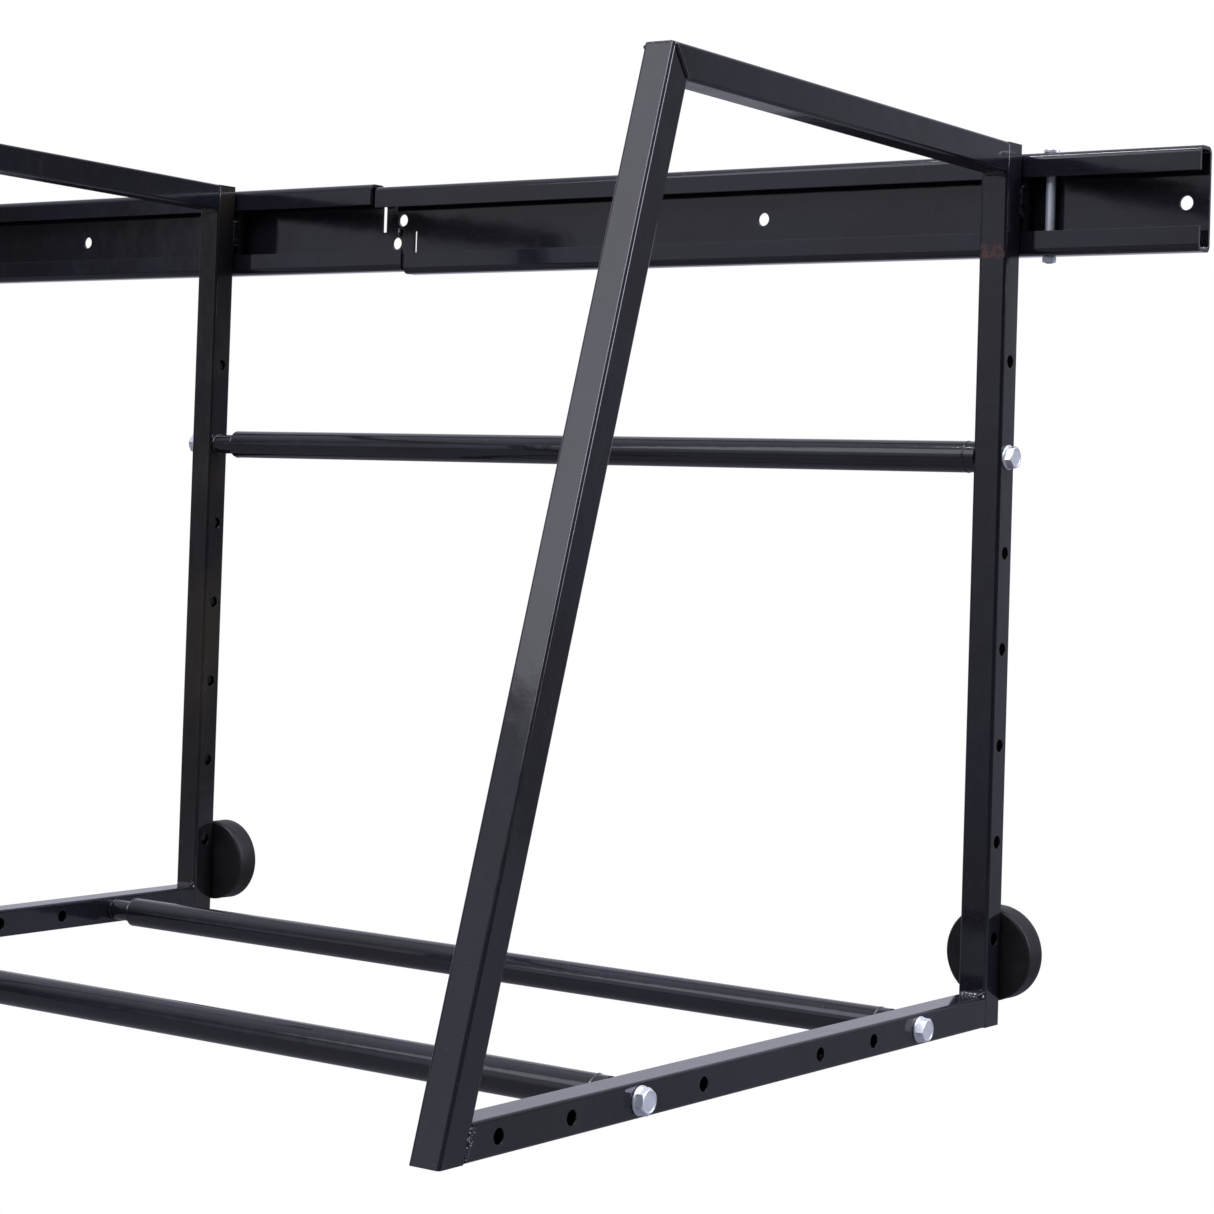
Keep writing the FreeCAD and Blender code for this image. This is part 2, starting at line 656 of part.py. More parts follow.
def bumper(side, x):
    """Rubber disc between the post and the wall, held by a recessed bolt screwed into the post.

    The bolt is on the post's middle line; the disc may be shifted sideways from it.
    """
    shift = size[side + "_bumper_shift"]
    z = FLOOR + size[side + "_bumper_height"]
    to_wall = Rotation(Vector(1, 0, 0), -90)
    name = side + "_wall_bumper"
    disc = cylinder(name + "_disc", "dims.bumper_radius", "dims.wall_to_post")
    doc.recompute()
    rounded = doc.addObject("Part::Fillet", name + "_rounded")
    rounded.Base = disc
    edge = size["bumper_edge"]
    rims = [number for number, item in enumerate(disc.Shape.Edges, start=1)
            if isinstance(item.Curve, Part.Circle)]
    rounded.Edges = [(number, edge, edge) for number in rims]
    recess_floor = size["wall_to_post"] - size["bumper_recess_depth"]
    recess = cylinder(name + "_recess", "dims.bumper_recess_radius", "dims.bumper_recess_depth",
                      Placement(Vector(-shift, 0, recess_floor), Rotation()))
    hole = cylinder(name + "_hole", "dims.stud_radius", "dims.wall_to_post",
                    Placement(Vector(-shift, 0, 0), Rotation()))
    pad_solid = cut(name + "_solid", rounded, fuse(name + "_openings", [recess, hole]))
    pad_solid.Placement = Placement(Vector(x + shift, POST_BACK, z), to_wall)
    finish(pad_solid, name)

    recess_y = -size["bumper_recess_depth"]
    washer = ring(side + "_bumper_washer_ring", "dims.stud_washer_radius", "dims.stud_radius",
                  "dims.stud_washer_thickness", Placement(Vector(x, recess_y, z), to_wall))
    finish(washer, side + "_bumper_washer")
    bolt = hex_bolt(side + "_bumper_bolt_solid",
                    ("dims.stud_radius", "dims.stud_length", "dims.stud_head_flats", "dims.stud_head_height"),
                    Placement(Vector(x, recess_y + size["stud_washer_thickness"], z), to_wall))
    finish(bolt, side + "_bumper_bolt")


# ------------------------------------------------- assembly

frame_places = {"right": size["frame_pitch"] / 2, "left": -size["frame_pitch"] / 2}
for side, x in frame_places.items():
    rear_post(side, x)
    floor_arm(side + "_floor_arm", x)
    front_leg(side + "_front_leg", x)
    top_arm(side + "_top_arm", x)
    post_cap(side + "_post_cap", x)
    hanger_block(side + "_hanger_block", x)
    slide_plate(side + "_slide_plate", x)
    bumper(side, x)

BAR_LINE = POST_BACK - HALF
bar_places = {
    "back_bar": (BAR_LINE, FLOOR + size["back_bar_height"]),
    "rear_floor_bar": (POST_BACK - size["rear_bar_reach"], FLOOR + HALF),
    "front_floor_bar": (POST_BACK - size["front_bar_reach"], FLOOR + HALF),
}
for bar_name, (bar_y, bar_z) in bar_places.items():
    cross_bar(bar_name, bar_y, bar_z)

bolts = []
washers = []
for bar_name, (bar_y, bar_z) in bar_places.items():
    for side, way in (("right", 1), ("left", -1)):
        outer_face = way * (size["frame_pitch"] / 2 + HALF)
        outward = Rotation(Vector(0, 1, 0), 90 * way)
        fastener = f"{side}_{bar_name}"
        washers.append(ring(fastener + "_washer", "dims.washer_radius", "dims.bolt_radius",
                            "dims.washer_thickness", Placement(Vector(outer_face, bar_y, bar_z), outward)))
        head_face = outer_face + way * size["washer_thickness"]
        bolts.append(hex_bolt(fastener + "_bolt",
                              ("dims.bolt_radius", "dims.bolt_length", "dims.bolt_head_flats",
                               "dims.bolt_head_height"),
                              Placement(Vector(head_face, bar_y, bar_z), outward)))
group("bar_bolts", bolts)
group("bar_washers", washers)

JOINT = size["joint_x"]
rail("right", 1, Placement(Vector(JOINT, 0, 0), Rotation()))
rail("left", -1, Placement(Vector(JOINT, 0, size["rail_step"]), Rotation(Vector(0, 1, 0), 180)))

stop_bolts = []
stop_nuts = []
stop_places = {
    "right": (JOINT + size["right_rail_reach"] - size["stop_inset"], 0.0),
    "left": (JOINT - size["left_rail_reach"] + size["stop_inset"], size["rail_step"]),
}
for side, (x, level) in stop_places.items():
    stop_y = -size["rail_depth"] / 2
    top = Placement(Vector(x, stop_y, level + size["rail_height"] / 2), Rotation())
    stop_bolts.append(shoulder_screw(side + "_stop_bolt", top))
    under = Placement(Vector(x, stop_y, level - size["rail_height"] / 2), Rotation(Vector(1, 0, 0), 180))
    stop_nuts.append(hex_nut(side + "_stop_nut", "dims.stop_nut_flats", "dims.stop_nut_height",
                             "dims.stop_thread_radius", under))
group("stop_bolts", stop_bolts)
group("stop_nuts", stop_nuts)

doc.recompute()

# ------------------------------------------------- check and write

for item in doc.Objects:
    if "Invalid" in item.State or "Error" in item.State:
        raise RuntimeError(f"{item.Name} failed: {item.State}")
for name, part in nodes.items():
    if part.Shape.isNull() or not part.Shape.isValid():
        raise RuntimeError(f"{name} has no valid shape")

os.makedirs("parts", exist_ok=True)
for name, part in nodes.items():
    part.Shape.exportStep(f"parts/{name}.step")
    print(f"{name}: {len(part.Shape.Solids)} solid(s), {part.Shape.Volume / 1000:.2f} cm3")
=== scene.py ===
"""Looks of the wall-hung ladder rack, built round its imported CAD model."""
import bmesh
import bpy
import json
import math
import random
from mathutils import Matrix, Vector, noise


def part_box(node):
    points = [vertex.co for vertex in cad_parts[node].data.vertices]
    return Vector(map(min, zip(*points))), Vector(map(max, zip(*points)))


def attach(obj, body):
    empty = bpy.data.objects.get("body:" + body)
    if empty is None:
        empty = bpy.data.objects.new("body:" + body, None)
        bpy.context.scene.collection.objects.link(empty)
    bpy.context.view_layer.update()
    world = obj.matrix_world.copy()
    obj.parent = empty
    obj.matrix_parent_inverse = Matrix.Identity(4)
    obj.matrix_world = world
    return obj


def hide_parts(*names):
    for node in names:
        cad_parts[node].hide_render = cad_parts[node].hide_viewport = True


MM = 0.001

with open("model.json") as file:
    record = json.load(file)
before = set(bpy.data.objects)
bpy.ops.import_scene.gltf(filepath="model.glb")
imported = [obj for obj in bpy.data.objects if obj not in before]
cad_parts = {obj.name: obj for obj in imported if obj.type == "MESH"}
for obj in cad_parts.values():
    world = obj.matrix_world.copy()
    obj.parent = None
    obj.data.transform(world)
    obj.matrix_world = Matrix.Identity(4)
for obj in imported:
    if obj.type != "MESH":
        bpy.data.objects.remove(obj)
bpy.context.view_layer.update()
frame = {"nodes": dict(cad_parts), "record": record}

UP = Vector((0, 0, 1))
ACROSS = Vector((1, 0, 0))
TO_WALL = Vector((0, 1, 0))


# ---------------------------------------------------------------- shader helpers

class Shader:
    """The node graph of a material or a world, built with short calls that return sockets."""

    def __init__(self, owner):
        self.owner = owner
        owner.use_nodes = True
        self.tree = owner.node_tree
        self.tree.nodes.clear()

    def feed(self, socket, value):
        if isinstance(value, bpy.types.NodeSocket):
            self.tree.links.new(value, socket)
        else:
            socket.default_value = value

    def node(self, kind, inputs=(), **settings):
        made = self.tree.nodes.new(kind)
        for key, value in settings.items():
            setattr(made, key, value)
        for key, value in dict(inputs).items():
            self.feed(made.inputs[key], value)
        return made

    def place(self, stretch=(1, 1, 1)):
        """Model coordinates in metres, stretched along each axis."""
        found = self.node("ShaderNodeTexCoord").outputs["Object"]
        return self.node("ShaderNodeMapping", {"Vector": found, "Scale": stretch}).outputs["Vector"]

    def noise(self, place, scale, detail=2.0, roughness=0.5):
        return self.node("ShaderNodeTexNoise", {"Vector": place, "Scale": scale, "Detail": detail,
                                                "Roughness": roughness}).outputs["Fac"]

    def span(self, value, low, high, to_low=0.0, to_high=1.0):
        """Smooth step of value from low..high to to_low..to_high."""
        return self.node("ShaderNodeMapRange",
                         {"Value": value, "From Min": low, "From Max": high,
                          "To Min": to_low, "To Max": to_high},
                         interpolation_type="SMOOTHSTEP").outputs["Result"]

    def math(self, operation, a, b=0.0):
        return self.node("ShaderNodeMath", {0: a, 1: b}, operation=operation).outputs[0]

    def mix(self, factor, a, b):
        return self.node("ShaderNodeMix", {0: factor, 6: (*a, 1) if isinstance(a, tuple) else a,
                                           7: (*b, 1) if isinstance(b, tuple) else b},
                         data_type="RGBA").outputs[2]

    def axis(self, vector, name):
        return self.node("ShaderNodeSeparateXYZ", {0: vector}).outputs[name]

    def rounded_normal(self, radius):
        return self.node("ShaderNodeBevel", {"Radius": radius}, samples=4).outputs["Normal"]

    def edge(self, rounded):
        """1 along sharp edges, 0 on faces."""
        true_normal = self.node("ShaderNodeNewGeometry").outputs["Normal"]
        return self.span(self.dot(rounded, true_normal), 0.995, 0.86)

    def bump(self, height, distance, strength=1.0, normal=None):
        inputs = {"Height": height, "Distance": distance, "Strength": strength}
        if normal is not None:
            inputs["Normal"] = normal
        return self.node("ShaderNodeBump", inputs).outputs["Normal"]

    def dot(self, a, b):
        return self.node("ShaderNodeVectorMath", {0: a, 1: b}, operation="DOT_PRODUCT").outputs["Value"]

    def for_camera(self, seen, otherwise):
        """One shader where the camera looks straight at it, another in reflections and as light."""
        straight = self.node("ShaderNodeLightPath").outputs["Is Camera Ray"]
        return self.node("ShaderNodeMixShader", {0: straight, 1: otherwise, 2: seen}).outputs[0]

    def principled(self, **sockets):
        """sockets are the principled shader's, with _ for a space."""
        named = {key.replace("_", " "): value for key, value in sockets.items()}
        return self.node("ShaderNodeBsdfPrincipled", named).outputs[0]

    def output(self, surface, kind="ShaderNodeOutputMaterial"):
        self.node(kind, {"Surface": surface})
        return self.owner


BLACK = (0.0065, 0.0065, 0.0085)
BLUE_BLACK = (0.0095, 0.0092, 0.0145)
# painted reflection: a warm brownish tint that stands in for a reflection on the left post
WARM_REFLECTION_TINT = (0.020, 0.016, 0.012)
CHIPPED = (0.085, 0.085, 0.095)
# painted glints: the light grey painted into pits on the welds
GLINT_GREY = (0.30, 0.30, 0.32)
PRIMER = (0.115, 0.045, 0.030)
DUST = (0.16, 0.155, 0.15)


def gloss_paint(name, tint=BLUE_BLACK, waviness=0.35, scuff=None):
    """Glossy black paint over steel: orange peel, slow waves, dust and worn edges.

    scuff is the (low, high) height band in which primer shows on the front face.
    """
    s = Shader(bpy.data.materials.new(name))
    place = s.place()
    slow = s.noise(place, 7, 3)
    # slow noise mottles black with the tint; the left post's warm tint is a painted reflection
    colour = s.mix(s.span(slow, 0.35, 0.65), BLACK, tint)

    rounded = s.rounded_normal(0.6 * MM)
    worn = s.math("MULTIPLY", s.edge(rounded), s.span(s.noise(place, 260, 4, 0.7), 0.56, 0.70))
    colour = s.mix(s.math("MULTIPLY", worn, 0.55), colour, CHIPPED)

    specks = s.span(s.noise(place, 1500, 0), 0.80, 0.86)
    haze = s.span(s.noise(s.place((1, 1, 0.35)), 38, 5, 0.65), 0.48, 0.85)
    dusty = s.math("MAXIMUM", s.math("MULTIPLY", specks, 0.5), s.math("MULTIPLY", haze, 0.030))
    colour = s.mix(dusty, colour, DUST)
    roughness = s.math("ADD", s.span(haze, 0.0, 1.0, 0.10, 0.19), s.math("MULTIPLY", worn, 0.3))

    if scuff:
        level = s.axis(place, "Z")
        inside = s.math("MULTIPLY", s.span(level, scuff[0] - 2 * MM, scuff[0] + 2 * MM),
                        s.span(level, scuff[1] + 3 * MM, scuff[1] - 3 * MM))
        facing = s.span(s.axis(s.node("ShaderNodeNewGeometry").outputs["Normal"], "Y"), -0.8, -0.95)
        patchy = s.span(s.noise(place, 210, 5, 0.7), 0.40, 0.62)
        primer = s.math("MULTIPLY", s.math("MULTIPLY", inside, facing), patchy)
        colour = s.mix(s.math("MULTIPLY", primer, 0.8), colour, PRIMER)
        roughness = s.math("ADD", roughness, s.math("MULTIPLY", primer, 0.35))

    peel = s.noise(place, 420, 2, 0.55)
    waves = s.noise(place, 26, 2, 0.5)
    normal = s.bump(waves, 1.0 * MM, waviness, rounded)
    normal = s.bump(peel, 0.06 * MM, 0.30, normal)
    normal = s.bump(specks, 0.05 * MM, 0.6, normal)
    return s.output(s.principled(Base_Color=colour, Roughness=roughness, Normal=normal, IOR=1.5,
                                 Coat_Weight=0.25, Coat_Roughness=0.06))


def weld_paint(name):
    """The same paint over a weld: rippled, glossy, with a few pits painted light grey as painted glints."""
    s = Shader(bpy.data.materials.new(name))
    place = s.place()
    pits = s.noise(place, 900, 4, 0.7)
    # painted glints: pits painted light grey for the bright specks on the welds
    glint_spots = s.span(pits, 0.60, 0.72)
    colour = s.mix(s.math("MULTIPLY", glint_spots, 0.8), BLACK, GLINT_GREY)
    smooth = s.span(s.noise(place, 60, 2), 0.3, 0.7, 0.10, 0.20)
    roughness = s.math("ADD", smooth, s.math("MULTIPLY", glint_spots, 0.2))
    normal = s.bump(s.noise(place, 350, 2, 0.5), 0.20 * MM, 0.4)
    normal = s.bump(pits, 0.06 * MM, 0.4, normal)
    return s.output(s.principled(Base_Color=colour, Roughness=roughness, Normal=normal, IOR=1.5,
                                 Coat_Weight=0.35, Coat_Roughness=0.05))


def zinc_plating(name, streaks=(1, 1, 1)):
    """Bright zinc: bluish white, faintly brushed along one axis, with pale cloudy passivation."""
    s = Shader(bpy.data.materials.new(name))
    place = s.place()
    cloud = s.noise(place, 120, 3, 0.5)
    colour = s.mix(s.span(cloud, 0.35, 0.7), (0.86, 0.88, 0.90), (0.74, 0.79, 0.86))
    straw = s.span(s.noise(place, 60, 2), 0.58, 0.75, 0.0, 0.15)
    colour = s.mix(straw, colour, (0.74, 0.73, 0.62))
    rounded = s.rounded_normal(0.35 * MM)
    brushed = s.noise(s.place(streaks), 1100, 2, 0.5)
    stained = s.span(s.noise(place, 300, 3, 0.6), 0.62, 0.74)
    colour = s.mix(s.math("MULTIPLY", stained, 0.15), colour, (0.36, 0.38, 0.40))
    roughness = s.math("ADD", s.span(cloud, 0.3, 0.7, 0.32, 0.42), s.math("MULTIPLY", stained, 0.10))
    normal = s.bump(brushed, 0.02 * MM, 0.25, rounded)
    return s.output(s.principled(Base_Color=colour, Metallic=0.75, Roughness=roughness, Normal=normal))


def moulded_rubber(name):
    """Matt black rubber with a fine moulded grain, dusty bloom and edges painted lighter as a painted
    grazing sheen.
    """
    s = Shader(bpy.data.materials.new(name))
    place = s.place()
    bloom = s.noise(place, 45, 5, 0.65)
    colour = s.mix(s.span(bloom, 0.40, 0.75), (0.0035, 0.0035, 0.0040), (0.009, 0.009, 0.0095))
    rounded = s.rounded_normal(0.8 * MM)
    # painted sheen: the rounded edges are painted lighter to stand in for the grazing reflection on the rims
    colour = s.mix(s.math("MULTIPLY", s.edge(rounded), 0.3), colour, (0.02, 0.02, 0.021))
    lint = s.span(s.noise(place, 1100, 1), 0.76, 0.84)
    colour = s.mix(s.math("MULTIPLY", lint, 0.4), colour, DUST)
    grain = s.noise(place, 1300, 3, 0.6)
    normal = s.bump(bloom, 0.3 * MM, 0.25, rounded)
    normal = s.bump(grain, 0.08 * MM, 0.55, normal)
    return s.output(s.principled(Base_Color=colour, Roughness=s.span(bloom, 0.3, 0.7, 0.40, 0.52),
                                 Normal=normal, IOR=1.37))


frame_paint = gloss_paint("frame_paint")
right_post_paint = gloss_paint("right_post_paint", scuff=(-47 * MM, -35 * MM))
# the left post's paint carries a warm tint that is a painted reflection
left_post_reflection_paint = gloss_paint("left_post_reflection_paint", tint=WARM_REFLECTION_TINT)
bar_paint = gloss_paint("bar_paint", waviness=0.55)
rail_paint = gloss_paint("rail_paint", waviness=0.3)
weld_finish = weld_paint("weld_paint")
zinc_across = zinc_plating("zinc_across", (0.15, 1, 1))
zinc_upright = zinc_plating("zinc_upright", (1, 1, 0.12))
zinc_wallward = zinc_plating("zinc_wallward", (1, 0.15, 1))
rubber = moulded_rubber("rubber")


def set_material(obj, material):
    obj.data.materials.clear()
    obj.data.materials.append(material)


# ---------------------------------------------------------------- mesh helpers

TURNED_SEGMENTS = 96
SHARP_ABOVE = math.radians(32)


def piece(name, body, material, mesh, replaced=()):
    """Put a finished bmesh into the scene as one named piece of the rack."""
    bmesh.ops.recalc_face_normals(mesh, faces=mesh.faces)
    data = bpy.data.meshes.new(name)
    mesh.to_mesh(data)
    mesh.free()
    data.shade_smooth()
    data.set_sharp_from_angle(angle=SHARP_ABOVE)
    obj = bpy.data.objects.new(name, data)
    bpy.context.scene.collection.objects.link(obj)
    set_material(obj, material)
    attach(obj, body)
    if replaced:
        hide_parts(*replaced)
    return obj


def basis(direction):
    """Rotation that turns +z into the given direction."""
    return Vector(direction).to_track_quat("Z", "Y").to_matrix()


def skin(mesh, rings, closed=False):
    """Faces between equal rings of vertices, with the two end rings filled in unless closed."""
    count = len(rings[0])
    pairs = list(zip(rings, rings[1:]))
    if closed:
        pairs.append((rings[-1], rings[0]))
    for lower, upper in pairs:
        for k in range(count):
            following = (k + 1) % count
            mesh.faces.new((lower[k], lower[following], upper[following], upper[k]))
    if not closed:
        mesh.faces.new(rings[0])
        mesh.faces.new(rings[-1])


def circle(mesh, centre, direction, radius, height, segments, twist=0.0):
    """A ring of vertices round the direction, at a height along it.

    radius is a number, or a function of the angle from the twist on.
    """
    turn = basis(direction)
    ring = []
    for k in range(segments):
        angle = 2 * math.pi * k / segments
        reach = radius(angle) if callable(radius) else radius
        local = Vector((reach * math.cos(angle + twist), reach * math.sin(angle + twist), height))
        ring.append(mesh.verts.new(Vector(centre) + turn @ local))
    return ring


def turned(mesh, profile, centre, direction, segments=TURNED_SEGMENTS, closed=False):
    """A turned form; profile is (radius, height) pairs along the direction."""
    skin(mesh, [circle(mesh, centre, direction, radius, height, segments) for radius, height in profile],
         closed)


def arc(middle_radius, middle_height, radius, start, end, steps=6):
    """(radius, height) points of a profile's round edge, between two angles in degrees."""
    points = []
    for step in range(steps + 1):
        angle = math.radians(start + (end - start) * step / steps)
        points.append((middle_radius + radius * math.cos(angle), middle_height + radius * math.sin(angle)))
    return points


# radius of a hexagon head's round top, as a share of its width across flats
HEAD_TOP_SHARE = 0.475


def hexagon(mesh, flats, height, centre, direction, chamfer_both=False, bore=None, twist=0.0):
    """Hexagon head or nut whose corners are chamfered at 30 degrees, as on a real one."""
    slope = math.tan(math.radians(30))
    face_radius = flats * HEAD_TOP_SHARE
    corner = flats / 2 / math.cos(math.radians(30))
    depth = (corner - face_radius) * slope
    levels = [0.0] if not chamfer_both else [depth * k / 4 for k in range(5)]
    levels += [height - depth * (1 - k / 5) for k in range(6)]

    def ring(radius, level):
        return circle(mesh, centre, direction, radius, level, TURNED_SEGMENTS, twist)

    def outline(level):
        limit = face_radius + (height - level) / slope
        if chamfer_both:
            limit = min(limit, face_radius + level / slope)
        return lambda angle: min(flats / 2 / math.cos(angle % (math.pi / 3) - math.pi / 6), limit)

    rings = [ring(outline(level), level) for level in levels]
    if bore:
        lead = 0.6 * MM
        inner = [(bore + lead, height), (bore, height - lead), (bore, lead), (bore + lead, 0.0)]
    else:
        dish = 0.35 * MM
        inner = [(face_radius * 0.90, height), (face_radius * 0.84, height - dish)]
    rings += [ring(radius, level) for radius, level in inner]
    skin(mesh, rings, closed=bool(bore))


def thread(mesh, radius, pitch, start, direction, length):
    """A threaded shank: a helix of rounded crests along the direction."""
    per_turn = 28
    rows_per_pitch = 6
    depth = 0.55 * pitch
    rows = int(length / pitch * rows_per_pitch)

    def outline(height):
        run_out = min(1.0, height / (2 * pitch))

        def reach(angle):
            phase = (height / pitch - angle / (2 * math.pi)) % 1.0
            return radius - depth * (0.5 + 0.5 * math.cos(2 * math.pi * phase)) * run_out

        return reach

    levels = [length * row / rows for row in range(rows + 1)]
    skin(mesh, [circle(mesh, start, direction, outline(level), level, per_turn) for level in levels])


def washer(mesh, radius, bore, thickness, centre, direction):
    """A flat washer with round outer edges."""
    edge = thickness * 0.35
    profile = [(bore, 0.0), (radius - edge, 0.0)]
    profile += arc(radius - edge, edge, edge, -90, 0, 4)
    profile += arc(radius - edge, thickness - edge, edge, 0, 90, 4)
    profile += [(bore, thickness)]
    turned(mesh, profile, centre, direction, closed=True)


USUAL_RIPPLE = 0.16


def bead(mesh, start, end, out, radii, seed, ripple=USUAL_RIPPLE):
    """A weld bead along a straight line.

    out is the way the bead bulges, radii its size that way and across it, and
    ripple how rough it is.
    """
    section = 14
    slice_length, ripple_pitch = 0.45 * MM, 1.7 * MM
    uneven = min(1.0, ripple / USUAL_RIPPLE)
    start, end, out = Vector(start), Vector(end), Vector(out).normalized()
    along = (end - start).normalized()
    side = along.cross(out)
    length = (end - start).length
    steps = max(6, int(length / slice_length))
    rings = []
    for step in range(steps + 1):
        distance = length * step / steps
        from_end = min(distance, length - distance) / min(radii)
        swell = math.sqrt(max(0.02, 1 - (1 - min(1.0, from_end)) ** 2))
        wobble = noise.noise(Vector((distance / (2.6 * MM), seed, 0)))
        beat = (distance / ripple_pitch + 0.4 * wobble) % 1.0
        grow = swell * (1 + ripple * (beat - 0.5) + 0.22 * uneven * wobble)
        drift = side * (0.18 * max(radii) * noise.noise(Vector((distance / (4.0 * MM), seed, 5))))
        ring = []
        for k in range(section):
            angle = 2 * math.pi * k / section
            grain_at = Vector((distance / (0.9 * MM), 2 * math.cos(angle) + seed, 2 * math.sin(angle)))
            rough = 1 + 0.07 * uneven * noise.noise(grain_at)
            offset = out * (radii[0] * math.cos(angle)) + side * (radii[1] * math.sin(angle))
            ring.append(mesh.verts.new(start + along * distance + drift + offset * grow * rough))
        rings.append(ring)
    skin(mesh, rings)


def ring_bead(mesh, centre, axis, ring_radius, bead_radius, seed):
    """A weld bead that runs round a bar."""
    turn = basis(axis)
    steps, section = 150, 10
    ripple_pitch = 1.9 * MM
    rings = []
    for step in range(steps):
        angle = 2 * math.pi * step / steps
        outward = turn @ Vector((math.cos(angle), math.sin(angle), 0))
        wobble = noise.noise(Vector((3 * math.cos(angle), 3 * math.sin(angle), seed)))
        beat = (angle * ring_radius / ripple_pitch) % 1.0
        grow = bead_radius * (1 + 0.22 * (beat - 0.5) + 0.35 * wobble)
        drift = Vector(axis) * (bead_radius * 0.8 * noise.noise(
            Vector((2 * math.cos(angle), 2 * math.sin(angle), seed + 9))))
        ring = []
        for k in range(section):
            around = 2 * math.pi * k / section
            offset = outward * math.cos(around) + Vector(axis) * math.sin(around)
            ring.append(mesh.verts.new(Vector(centre) + outward * ring_radius + drift + offset * grow))
        rings.append(ring)
    skin(mesh, rings, closed=True)


def blobs(mesh, points, sizes, out, seed):
    """Drops of weld metal that lie half sunk in a surface."""
    chance = random.Random(seed)
    for point, radius in zip(points, sizes):
        made = bmesh.ops.create_icosphere(mesh, subdivisions=2, radius=radius)
        for vertex in made["verts"]:
            lump = 1 + 0.18 * noise.noise(vertex.co / radius * 1.3 + Vector((seed, chance.random(), 0)))
            vertex.co = Vector(point) + Vector(out) * (-0.35 * radius) + vertex.co * lump


# ---------------------------------------------------------------- what the frame says

def spot(name):
    """The middle of a node's box."""
    low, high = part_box(name)
    return (low + high) / 2


post_low, post_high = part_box("right_rear_post")
arm_low, arm_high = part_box("right_floor_arm")
leg_low, leg_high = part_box("right_front_leg")
top_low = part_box("right_top_arm")[0]
block_low, block_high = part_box("right_hanger_block")
cap_low, cap_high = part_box("right_post_cap")
right_rail_low, right_rail_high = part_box("right_rail")
left_rail_low, left_rail_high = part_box("left_rail")
side_width = post_high.x - post_low.x
half_width = side_width / 2
post_front = post_low.y
post_back = post_high.y
arm_top = arm_high.z
floor_level = arm_low.z

# the leg leans: its rear face runs from the arm's underside to its top
leg_foot = Vector((0, leg_low.y, leg_low.z))
leg_peak = Vector((0, top_low.y, leg_high.z))
leg_up = (leg_peak - leg_foot).normalized()
leg_rear_normal = Vector((0, leg_up.z, -leg_up.y))
top_back = (Vector((0, post_front, cap_high.z)) - leg_peak).normalized()
mitre = (top_back - leg_up).normalized()
tube_down = Vector((0, top_back.z, -top_back.y))
mitre_length = side_width / mitre.dot(tube_down)
inner_peak = leg_peak + mitre * mitre_length


# ---------------------------------------------------------------- welds of a frame

# each bead's height out of the surface and its half width
MITRE_BEAD = (2.0 * MM, 1.5 * MM)
LEG_BEAD = (1.4 * MM, 2.2 * MM)
ARM_BEAD = (0.7 * MM, 1.5 * MM)
TOP_ARM_BEAD = (1.2 * MM, 1.7 * MM)
HANGER_BEAD = (2.4 * MM, 2.4 * MM)
FOOT_FILLET = (3.2 * MM, 6.5 * MM)
UNDER_FILLET = (2.4 * MM, 3.2 * MM)
INNER_MITRE_BEAD = (1.4 * MM, 2.6 * MM)
OUTER_MITRE_BEAD = (0.8 * MM, 1.3 * MM)
TACK_BEAD = (2.8 * MM, 3.2 * MM)


# heights and radii in millimetres of the lumps on a hanger block's weld
HANGER_LUMPS = {-9: 1.9, -4: 1.6, 1: 1.8, 6: 1.5, 10: 1.4, 15: 1.9}
# places and radii in millimetres of the drops at the heavy end of a foot's fillet
FOOT_DROPS = {(0, 0, 0): 1.7, (1.0, 1.6, 1.2): 1.5, (-3.5, -1.0, 0.5): 1.1, (-1.2, 2.0, 2.6): 1.0}
# how far a seam across a tube stays inside the tube's side faces
SEAM_INSET = 3 * MM


def leg_joint(mesh, face, outward, seed, chance):
    """The leg's weld to the floor arm on one side face: lumps above, hardly filled below."""
    low = leg_foot + leg_rear_normal * side_width
    low = low + leg_up * ((floor_level - low.z) / leg_up.z)
    high = low + leg_up * (side_width / leg_up.z)
    low = low + leg_up * 2 * MM
    high = high - leg_up * 2.5 * MM
    sunk = -outward * 0.6 * MM
    bead(mesh, face + sunk + low, face + sunk + high, outward, LEG_BEAD, seed + 2, 0.3)

    # the lumps run from a little under half way up the joint to near its top
    drops = []
    sizes = []
    for count in range(18):
        at = low.lerp(high, 0.42 + 0.03 * count)
        drops.append(face + at - leg_rear_normal * chance.uniform(-3.2, 2.2) * MM)
        sizes.append(chance.uniform(1.1, 2.2) * MM)
    blobs(mesh, drops, sizes, outward, seed)


def post_joints(mesh, face, outward, seed):
    """The post's welds on one side face: to the floor arm, the top arm and the hanger block."""
    # both arms' seams lie in the groove of the post's round corner
    groove = face - outward * 1.5 * MM + TO_WALL * (post_front + 0.4 * MM)
    bead(mesh, groove + UP * (floor_level + 1 * MM), groove + UP * (arm_top - 1 * MM), outward,
         ARM_BEAD, seed + 3, 0.10)
    bead(mesh, groove + UP * (cap_low.z - 23 * MM), groove + UP * (cap_high.z - 3 * MM), outward,
         TOP_ARM_BEAD, seed + 4)

    # the hanger block's is lumpy and shows past the post's rear corner
    edge = face + TO_WALL * post_back - outward * 1.2 * MM
    bead(mesh, edge + UP * (block_low.z + 3 * MM), edge + UP * (block_high.z - 1 * MM),
         TO_WALL, HANGER_BEAD, seed + 5, 0.5)
    blobs(mesh, [edge + (outward * 0.8 + TO_WALL * 3.6 + UP * height) * MM for height in HANGER_LUMPS],
          [radius * MM for radius in HANGER_LUMPS.values()], outward, seed + 6)


